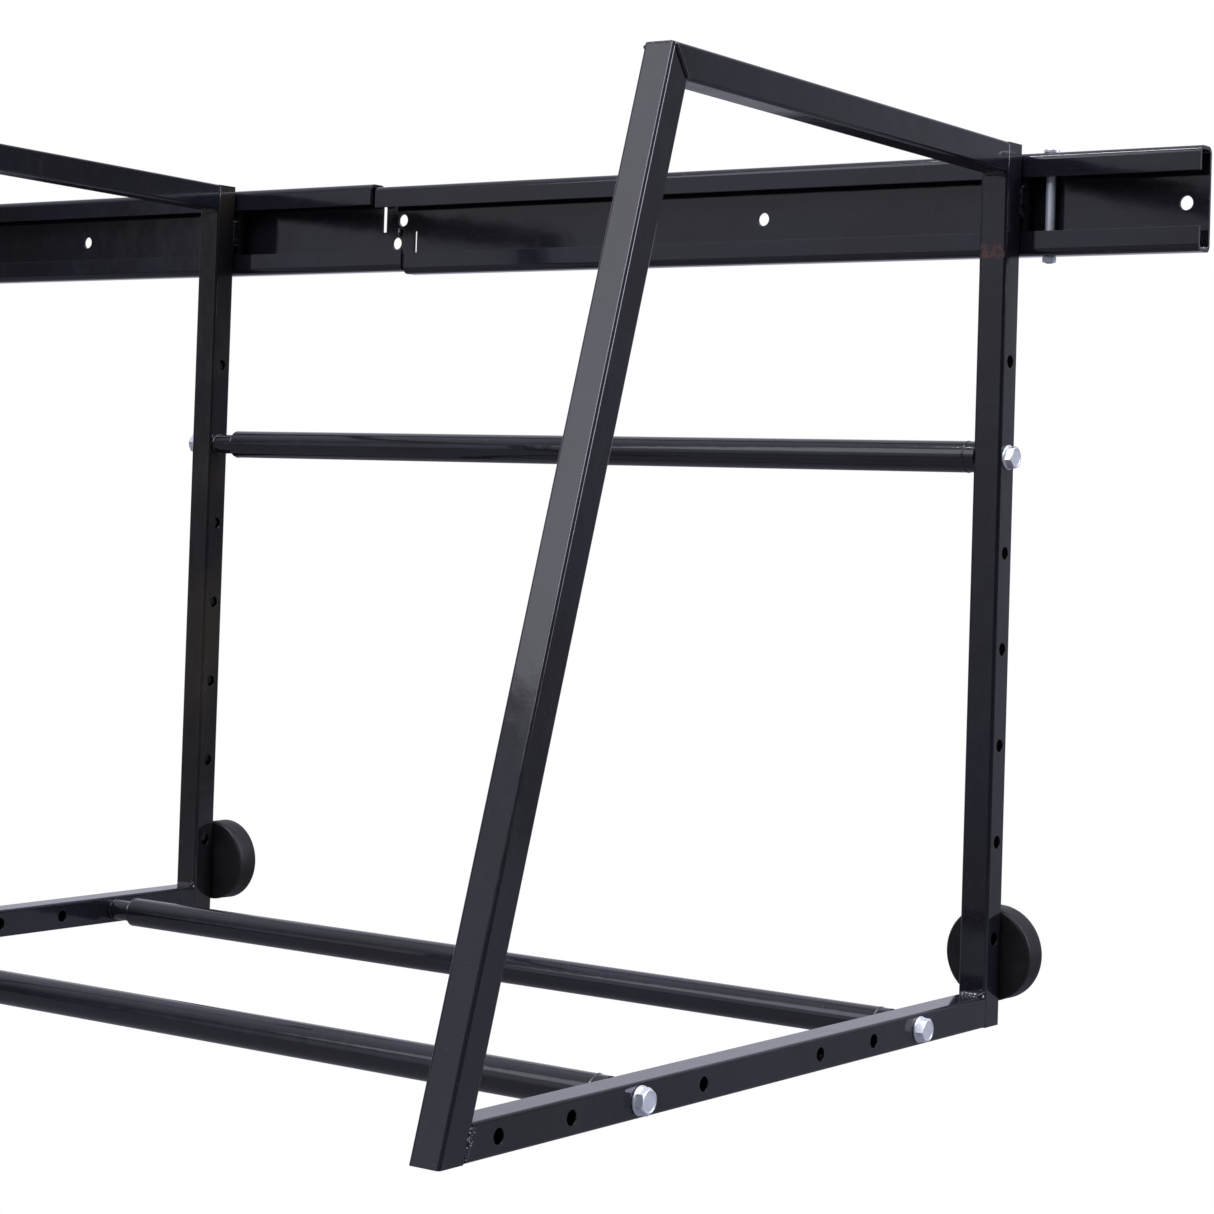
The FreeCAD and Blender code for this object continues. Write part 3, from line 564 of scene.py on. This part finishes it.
def foot_fillet(mesh, x, seed):
    """The weld on top of the floor arm against the post, heavier towards +x."""
    line = Vector((0, post_front + 0.6 * MM, arm_top - 0.6 * MM))
    left = line + ACROSS * (x - half_width + 1.5 * MM)
    right = line + ACROSS * (x + half_width - 1.0 * MM)
    bead(mesh, left, right, Vector((0, -1, 1)), FOOT_FILLET, seed + 7, 0.05)
    heavy_end = line + Vector((x + half_width - 2.5 * MM, -3.5 * MM, 3.0 * MM))
    blobs(mesh, [heavy_end + Vector(offset) * MM for offset in FOOT_DROPS],
          [radius * MM for radius in FOOT_DROPS.values()], Vector((0.3, -0.7, 0.6)), seed + 8)


def cross_seam(mesh, x, line, out, radii, seed, ripple=USUAL_RIPPLE):
    """A bead straight across a frame whose middle plane is at x; line is a point with no x."""
    left = line + ACROSS * (x - half_width + SEAM_INSET)
    right = line + ACROSS * (x + half_width - SEAM_INSET)
    bead(mesh, left, right, out, radii, seed, ripple)


def frame_welds(side, x, seed):
    """Every weld on one side frame, whose middle plane is at x."""
    mesh = bmesh.new()
    for way in (1, -1):
        outward = ACROSS * way
        face = ACROSS * (x + way * half_width)
        # the mitre of the leg and the top arm is a rib that stands proud of the side face
        bead(mesh, face + leg_peak + mitre * 2 * MM, face + inner_peak - mitre * 1 * MM, outward,
             MITRE_BEAD, seed + 1, 0.05)
        leg_joint(mesh, face, outward, seed, random.Random(seed * 7 + way))
        post_joints(mesh, face, outward, seed)
    foot_fillet(mesh, x, seed)
    under_top_arm = Vector((0, post_front, cap_high.z - side_width / top_back.y))
    cross_seam(mesh, x, under_top_arm, Vector((0, -1, -1)), UNDER_FILLET, seed + 9)
    cross_seam(mesh, x, inner_peak, mitre, INNER_MITRE_BEAD, seed + 10)
    cross_seam(mesh, x, leg_peak + mitre * 0.9 * MM, -mitre, OUTER_MITRE_BEAD, seed + 11, 0.05)
    piece(side + "_frame_welds", "rack", weld_finish, mesh)


# the middle plane of each side frame
frame_x = {"right": spot("right_rear_post").x, "left": spot("left_rear_post").x}
for number, (side, x) in enumerate(frame_x.items()):
    frame_welds(side, x, 11.3 + 17.7 * number)


# ---------------------------------------------------------------- welds of the bars and the rail

BARS = ("back_bar", "rear_floor_bar", "front_floor_bar")
NECK_RADIUS = 9.5 * MM
RAIL_WALL = 3 * MM


def bar_welds(bar, seed):
    """The weld rings at both ends of a round bar and round the neck of its left plug."""
    mesh = bmesh.new()
    bar_low, bar_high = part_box(bar)
    middle = spot(bar)
    bar_radius = (bar_high.z - bar_low.z) / 2
    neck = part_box(bar + "_left_plug")[0].x + 0.9 * MM
    # each ring's place along the bar, its radius, its bead's radius and its own part of the seed
    rings = ((bar_high.x, bar_radius - 0.7 * MM, 1.0 * MM, 3.1),
             (bar_low.x, bar_radius - 0.6 * MM, 0.8 * MM, 8.4),
             (neck, NECK_RADIUS, 0.9 * MM, 5.9))
    for x, ring_radius, bead_radius, own_seed in rings:
        ring_bead(mesh, Vector((x, middle.y, middle.z)), ACROSS, ring_radius, bead_radius,
                  own_seed + seed)
    piece(bar + "_welds", "rack", weld_finish, mesh)


def rail_tack():
    """The weld between the two screw holes of the rail's joint, which holds its halves together."""
    mounts = {mount["name"]: Vector(mount["pos_m"]) for mount in frame["record"]["mounts"]}
    upper, lower = mounts["joint_screw_upper"], mounts["joint_screw_lower"]
    upper.y = lower.y = -RAIL_WALL
    mesh = bmesh.new()
    bead(mesh, upper.lerp(lower, 0.30), upper.lerp(lower, 0.70), -TO_WALL, TACK_BEAD, 2.7)
    piece("rail_joint_tack", "rail", weld_finish, mesh)


for number, bar in enumerate(BARS):
    bar_welds(bar, number)
rail_tack()


# ---------------------------------------------------------------- fasteners

M10_RADIUS, M10_PITCH, M10_FLATS = 5 * MM, 1.5 * MM, 17 * MM
M10_LENGTH, M10_PLAIN = 48 * MM, 26 * MM
M6_RADIUS, M6_PITCH, M6_FLATS = 3 * MM, 1.0 * MM, 10 * MM
SHOULDER_RADIUS = 4 * MM


def screw(mesh, radius, pitch, seat, direction, plain, length):
    """A bolt's shank: plain from its seat on, then threaded to its end."""
    if plain:
        turned(mesh, [(radius, 0.0), (radius, plain)], seat, direction, 48)
    thread(mesh, radius, pitch, Vector(seat) + Vector(direction) * plain, direction, length - plain)


def bar_fasteners():
    """The bolt and washer at both ends of each bar, every bolt turned its own way."""
    bolts_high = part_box("bar_bolts")[1]
    washers_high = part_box("bar_washers")[1]
    thickness = washers_high.x - frame_x["right"] - half_width
    head = bolts_high.x - washers_high.x
    washer_radius = washers_high.z - spot("back_bar").z
    bolts = bmesh.new()
    washers = bmesh.new()
    twists = random.Random(4)
    for side, way in (("right", 1), ("left", -1)):
        for bar in BARS:
            middle = spot(bar)
            face = Vector((frame_x[side] + way * half_width, middle.y, middle.z))
            outward = ACROSS * way
            washer(washers, washer_radius, M10_RADIUS, thickness, face, outward)
            seat = face + outward * thickness
            hexagon(bolts, M10_FLATS, head, seat, outward, twist=twists.uniform(0, 1))
            screw(bolts, M10_RADIUS, M10_PITCH, seat, -outward, M10_PLAIN, M10_LENGTH)
    piece("bar_bolt_set", "rack", zinc_across, bolts, ["bar_bolts"])
    piece("bar_washer_set", "rack", zinc_across, washers, ["bar_washers"])


def shoulder_screw(mesh, top, head_radius, head_height, shoulder, threaded):
    """A stop bolt that hangs from the rail's top: a low round head, a thick shoulder, a thread."""
    round_edge = 0.8 * MM
    chamfer = 0.3 * MM
    head = [(SHOULDER_RADIUS, 0.0), (head_radius - round_edge / 2, 0.0)]
    head += arc(head_radius - round_edge, round_edge, round_edge, -45, 0, 3)
    head += arc(head_radius - round_edge, head_height - round_edge, round_edge, 0, 90, 5)
    turned(mesh, head, top, UP, 64)
    neck = [(SHOULDER_RADIUS, 0.0), (SHOULDER_RADIUS, shoulder - chamfer),
            (SHOULDER_RADIUS - chamfer, shoulder), (M6_RADIUS - 0.4 * MM, shoulder)]
    turned(mesh, neck, top, -UP, 64)
    thread(mesh, M6_RADIUS, M6_PITCH, top - UP * (shoulder - 0.2 * MM), -UP, threaded)


def stop_fasteners():
    """The bolt and small nut near each end of the rail, which stop the rack there."""
    stops_low, stops_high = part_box("stop_bolts")
    nuts_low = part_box("stop_nuts")[0]
    y = spot("stop_bolts").y
    head_radius = (stops_high.y - stops_low.y) / 2
    head_height = stops_high.z - max(right_rail_high.z, left_rail_high.z)
    nut_height = min(right_rail_low.z, left_rail_low.z) - nuts_low.z
    past_nut = nuts_low.z - stops_low.z
    bolts = bmesh.new()
    nuts = bmesh.new()
    # each bolt's x, and the levels of its rail's underside and top
    for x, under, top in ((stops_high.x - head_radius, right_rail_low.z, right_rail_high.z),
                          (stops_low.x + head_radius, left_rail_low.z, left_rail_high.z)):
        shoulder_screw(bolts, Vector((x, y, top)), head_radius, head_height, top - under - 1 * MM,
                       nut_height + past_nut + 1.2 * MM)
        hexagon(nuts, M6_FLATS, nut_height, Vector((x, y, under)), -UP, True, M6_RADIUS, 0.5)
    piece("stop_bolt_set", "rail", zinc_upright, bolts, ["stop_bolts"])
    piece("stop_nut_set", "rail", zinc_upright, nuts, ["stop_nuts"])


bar_fasteners()
stop_fasteners()


# ---------------------------------------------------------------- bumpers

RECESS_RADIUS, RECESS_DEPTH = 13 * MM, 10 * MM
M8_RADIUS, M8_PITCH, M8_FLATS = 4 * MM, 1.25 * MM, 13 * MM
M8_LENGTH, M8_PLAIN = 25 * MM, 3 * MM


def rubber_disc(mesh, low, high, bolt_x):
    """The bumper's disc: round rims, softer in front, and a recess round the bolt in its back."""
    radius = (high.z - low.z) / 2
    thick = high.y - low.y
    centre = Vector(((low.x + high.x) / 2, low.y, (low.z + high.z) / 2))
    round_bolt = Vector((bolt_x, low.y, centre.z))
    front_rim, rim = 3 * MM, 1.2 * MM
    dip = 0.4 * MM
    disc = [(radius * 0.55, 0.0), (radius * 0.8, 0.0), (radius - 1.4 * front_rim, 0.0)]
    disc += arc(radius - front_rim, front_rim, front_rim, -90, -5)
    disc += [(radius - dip / 2, thick * 0.35), (radius - dip / 3, thick * 0.65)]
    disc += arc(radius - rim, thick - rim, rim, 5, 90)
    recess = [(RECESS_RADIUS + 1 * MM, thick)]
    recess += arc(RECESS_RADIUS + 1 * MM, thick - 1 * MM, 1 * MM, 90, 180, 4)
    recess += [(RECESS_RADIUS, thick - RECESS_DEPTH), (M8_RADIUS, thick - RECESS_DEPTH)]
    segments = 160
    rings = [circle(mesh, round_bolt, TO_WALL, M8_RADIUS, 0.0, segments)]
    rings += [circle(mesh, centre, TO_WALL, around, height, segments) for around, height in disc]
    rings += [circle(mesh, round_bolt, TO_WALL, around, height, segments) for around, height in recess]
    skin(mesh, rings, closed=True)


def bumper(side, x):
    """One rubber bumper with its bolt and washer; x is the bolt's, in the middle of the post."""
    disc = bmesh.new()
    rubber_disc(disc, *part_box(side + "_wall_bumper"), x)
    piece(side + "_rubber_bumper", "rack", rubber, disc, [side + "_wall_bumper"])

    head_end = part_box(side + "_bumper_bolt")[1].y
    washer_low, washer_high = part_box(side + "_bumper_washer")
    seat = Vector((x, washer_high.y, spot(side + "_bumper_bolt").z))
    thickness = washer_high.y - washer_low.y
    bolt = bmesh.new()
    hexagon(bolt, M8_FLATS, head_end - seat.y, seat, TO_WALL, twist=0.2)
    screw(bolt, M8_RADIUS, M8_PITCH, seat, -TO_WALL, M8_PLAIN, M8_LENGTH)
    piece(side + "_stud", "rack", zinc_wallward, bolt, [side + "_bumper_bolt"])
    ring = bmesh.new()
    washer(ring, (washer_high.z - washer_low.z) / 2, M8_RADIUS, thickness, seat - TO_WALL * thickness,
           TO_WALL)
    piece(side + "_stud_washer", "rack", zinc_wallward, ring, [side + "_bumper_washer"])


for side, x in frame_x.items():
    bumper(side, x)


# ---------------------------------------------------------------- finishes of the CAD nodes

FINISHES = {"frame_paint": frame_paint, "hanger_paint": frame_paint, "bar_paint": bar_paint,
            "plug_paint": bar_paint, "rail_paint": rail_paint, "zinc": zinc_across, "rubber": rubber}
# the right post has primer scuffs of its own; the left post's warm tint is a painted reflection
POST_FINISHES = {"right_rear_post": right_post_paint, "left_rear_post": left_post_reflection_paint}
for subpart in frame["record"]["subparts"]:
    name = subpart["node"]
    set_material(frame["nodes"][name], POST_FINISHES.get(name, FINISHES[subpart["material_slot"]]))


# ---------------------------------------------------------------- studio

FLOOR_HALF_SIZE = 7.0
FLOOR_DROP = 0.9
ROOM_COLOUR = (0.84, 0.85, 1.0, 1.0)
ROOM_LEVEL = 0.06
LIGHT_COLOUR = (0.90, 0.90, 1.0)
# level ways from the rack to the lit parts of the room, and for each panel the height of its lower edge
BACKDROP_WAY = (-0.593, 0.805, 0.0)
FRONT_WAY = (-0.531, -0.847, 0.0)
PANELS = (((-0.070, -0.998, 0.0), 0.40), ((0.927, 0.375, 0.0), 0.06))
PANEL_STRENGTH = 10.0


def studio_floor():
    """A flat floor far below the rack: plain white to look at, dimmer in the paint's reflections."""
    s = Shader(bpy.data.materials.new("studio_floor"))
    colour = s.mix(s.noise(s.place(), 2, 2), (0.12, 0.12, 0.13), (0.14, 0.14, 0.15))
    lit = s.node("ShaderNodeEmission", {"Color": (1, 1, 1, 1), "Strength": 1.0}).outputs[0]
    material = s.output(s.for_camera(lit, s.principled(Base_Color=colour, Roughness=0.7)))
    mesh = bmesh.new()
    bmesh.ops.create_grid(mesh, x_segments=4, y_segments=4, size=FLOOR_HALF_SIZE)
    data = bpy.data.meshes.new("studio_floor")
    mesh.to_mesh(data)
    mesh.free()
    floor = bpy.data.objects.new("studio_floor", data)
    floor.location = (0, 0, floor_level - FLOOR_DROP)
    floor.data.materials.append(material)
    bpy.context.scene.collection.objects.link(floor)


def studio_world():
    """White to look at; in reflections a lit backdrop, ceiling and front corner in a dim room."""
    world = bpy.data.worlds.new("studio")
    bpy.context.scene.world = world
    s = Shader(world)
    direction = s.node("ShaderNodeTexCoord").outputs["Generated"]
    behind = s.span(s.dot(direction, BACKDROP_WAY), 0.0, 0.85)
    height = s.axis(direction, "Z")
    backdrop = s.math("MULTIPLY", behind, s.span(height, -0.35, 0.15, 0.23, 0.68))
    ceiling = s.span(height, 0.15, 0.85, 0.0, 0.65)
    level = s.math("SQRT", s.math("SUBTRACT", 1.0, s.math("MULTIPLY", height, height)))
    bearing = s.math("DIVIDE", s.dot(direction, FRONT_WAY), level)
    beside = s.span(bearing, 0.970, 0.992)
    corner = s.math("MULTIPLY", beside, s.span(height, -0.25, 0.20, 0.02, 0.64))
    lit = s.math("MAXIMUM", s.math("MAXIMUM", backdrop, ceiling), corner)
    for way, lower_edge in PANELS:
        toward = s.math("DIVIDE", s.dot(direction, way), level)
        panel = s.math("MULTIPLY", s.span(toward, 0.975, 0.99), s.span(height, lower_edge, lower_edge + 0.1))
        lit = s.math("MAXIMUM", lit, s.math("MULTIPLY", panel, PANEL_STRENGTH))
    strength = s.math("ADD", lit, ROOM_LEVEL)
    room = s.node("ShaderNodeBackground", {"Color": ROOM_COLOUR, "Strength": strength}).outputs[0]
    white = s.node("ShaderNodeBackground", {"Color": (1, 1, 1, 1), "Strength": 1.0}).outputs[0]
    s.output(s.for_camera(white, room), "ShaderNodeOutputWorld")


def softbox(name, location, aim, size, power):
    """An area light of the given width and height in metres and power in watts."""
    light = bpy.data.lights.new(name, "AREA")
    light.shape = "RECTANGLE"
    light.size, light.size_y = size
    light.energy = power
    light.color = LIGHT_COLOUR
    obj = bpy.data.objects.new(name, light)
    obj.location = location
    obj.rotation_euler = (Vector(aim) - Vector(location)).to_track_quat("-Z", "Y").to_euler()
    bpy.context.scene.collection.objects.link(obj)


VIEW_FROM = (1.588, -2.2155, -0.2693)
VIEW_YAW, VIEW_PITCH, VIEW_ROLL = 36.378, 1.634, 1.852
SENSOR_WIDTH, LENS = 36, 86.25
VIEW_SHIFT = (0.0478, -0.1481)


def studio_camera():
    """The photograph's viewpoint; the picture is a crop off the lens axis, hence the shift."""
    lens = bpy.data.cameras.new("camera")
    lens.sensor_width = SENSOR_WIDTH
    lens.lens = LENS
    lens.shift_x, lens.shift_y = VIEW_SHIFT
    camera = bpy.data.objects.new("camera", lens)
    camera.matrix_world = (Matrix.Translation(VIEW_FROM)
                           @ Matrix.Rotation(math.radians(VIEW_YAW), 4, "Z")
                           @ Matrix.Rotation(math.radians(90 + VIEW_PITCH), 4, "X")
                           @ Matrix.Rotation(math.radians(VIEW_ROLL), 4, "Z"))
    bpy.context.scene.collection.objects.link(camera)
    bpy.context.scene.camera = camera


studio_floor()
studio_world()
softbox("top_softbox", (1.2, -0.9, 2.6), (0, -0.3, -0.3), (3.0, 2.2), 25)
softbox("edge_strip", (-0.55, -1.05, 2.55), (-0.55, -0.9, 0), (1.1, 0.14), 26)
softbox("high_softbox", (-1.28, -2.6, 1.55), (0.45, -0.65, -0.2), (1.2, 1.6), 10)
studio_camera()
bpy.context.scene.view_settings.view_transform = "Standard"
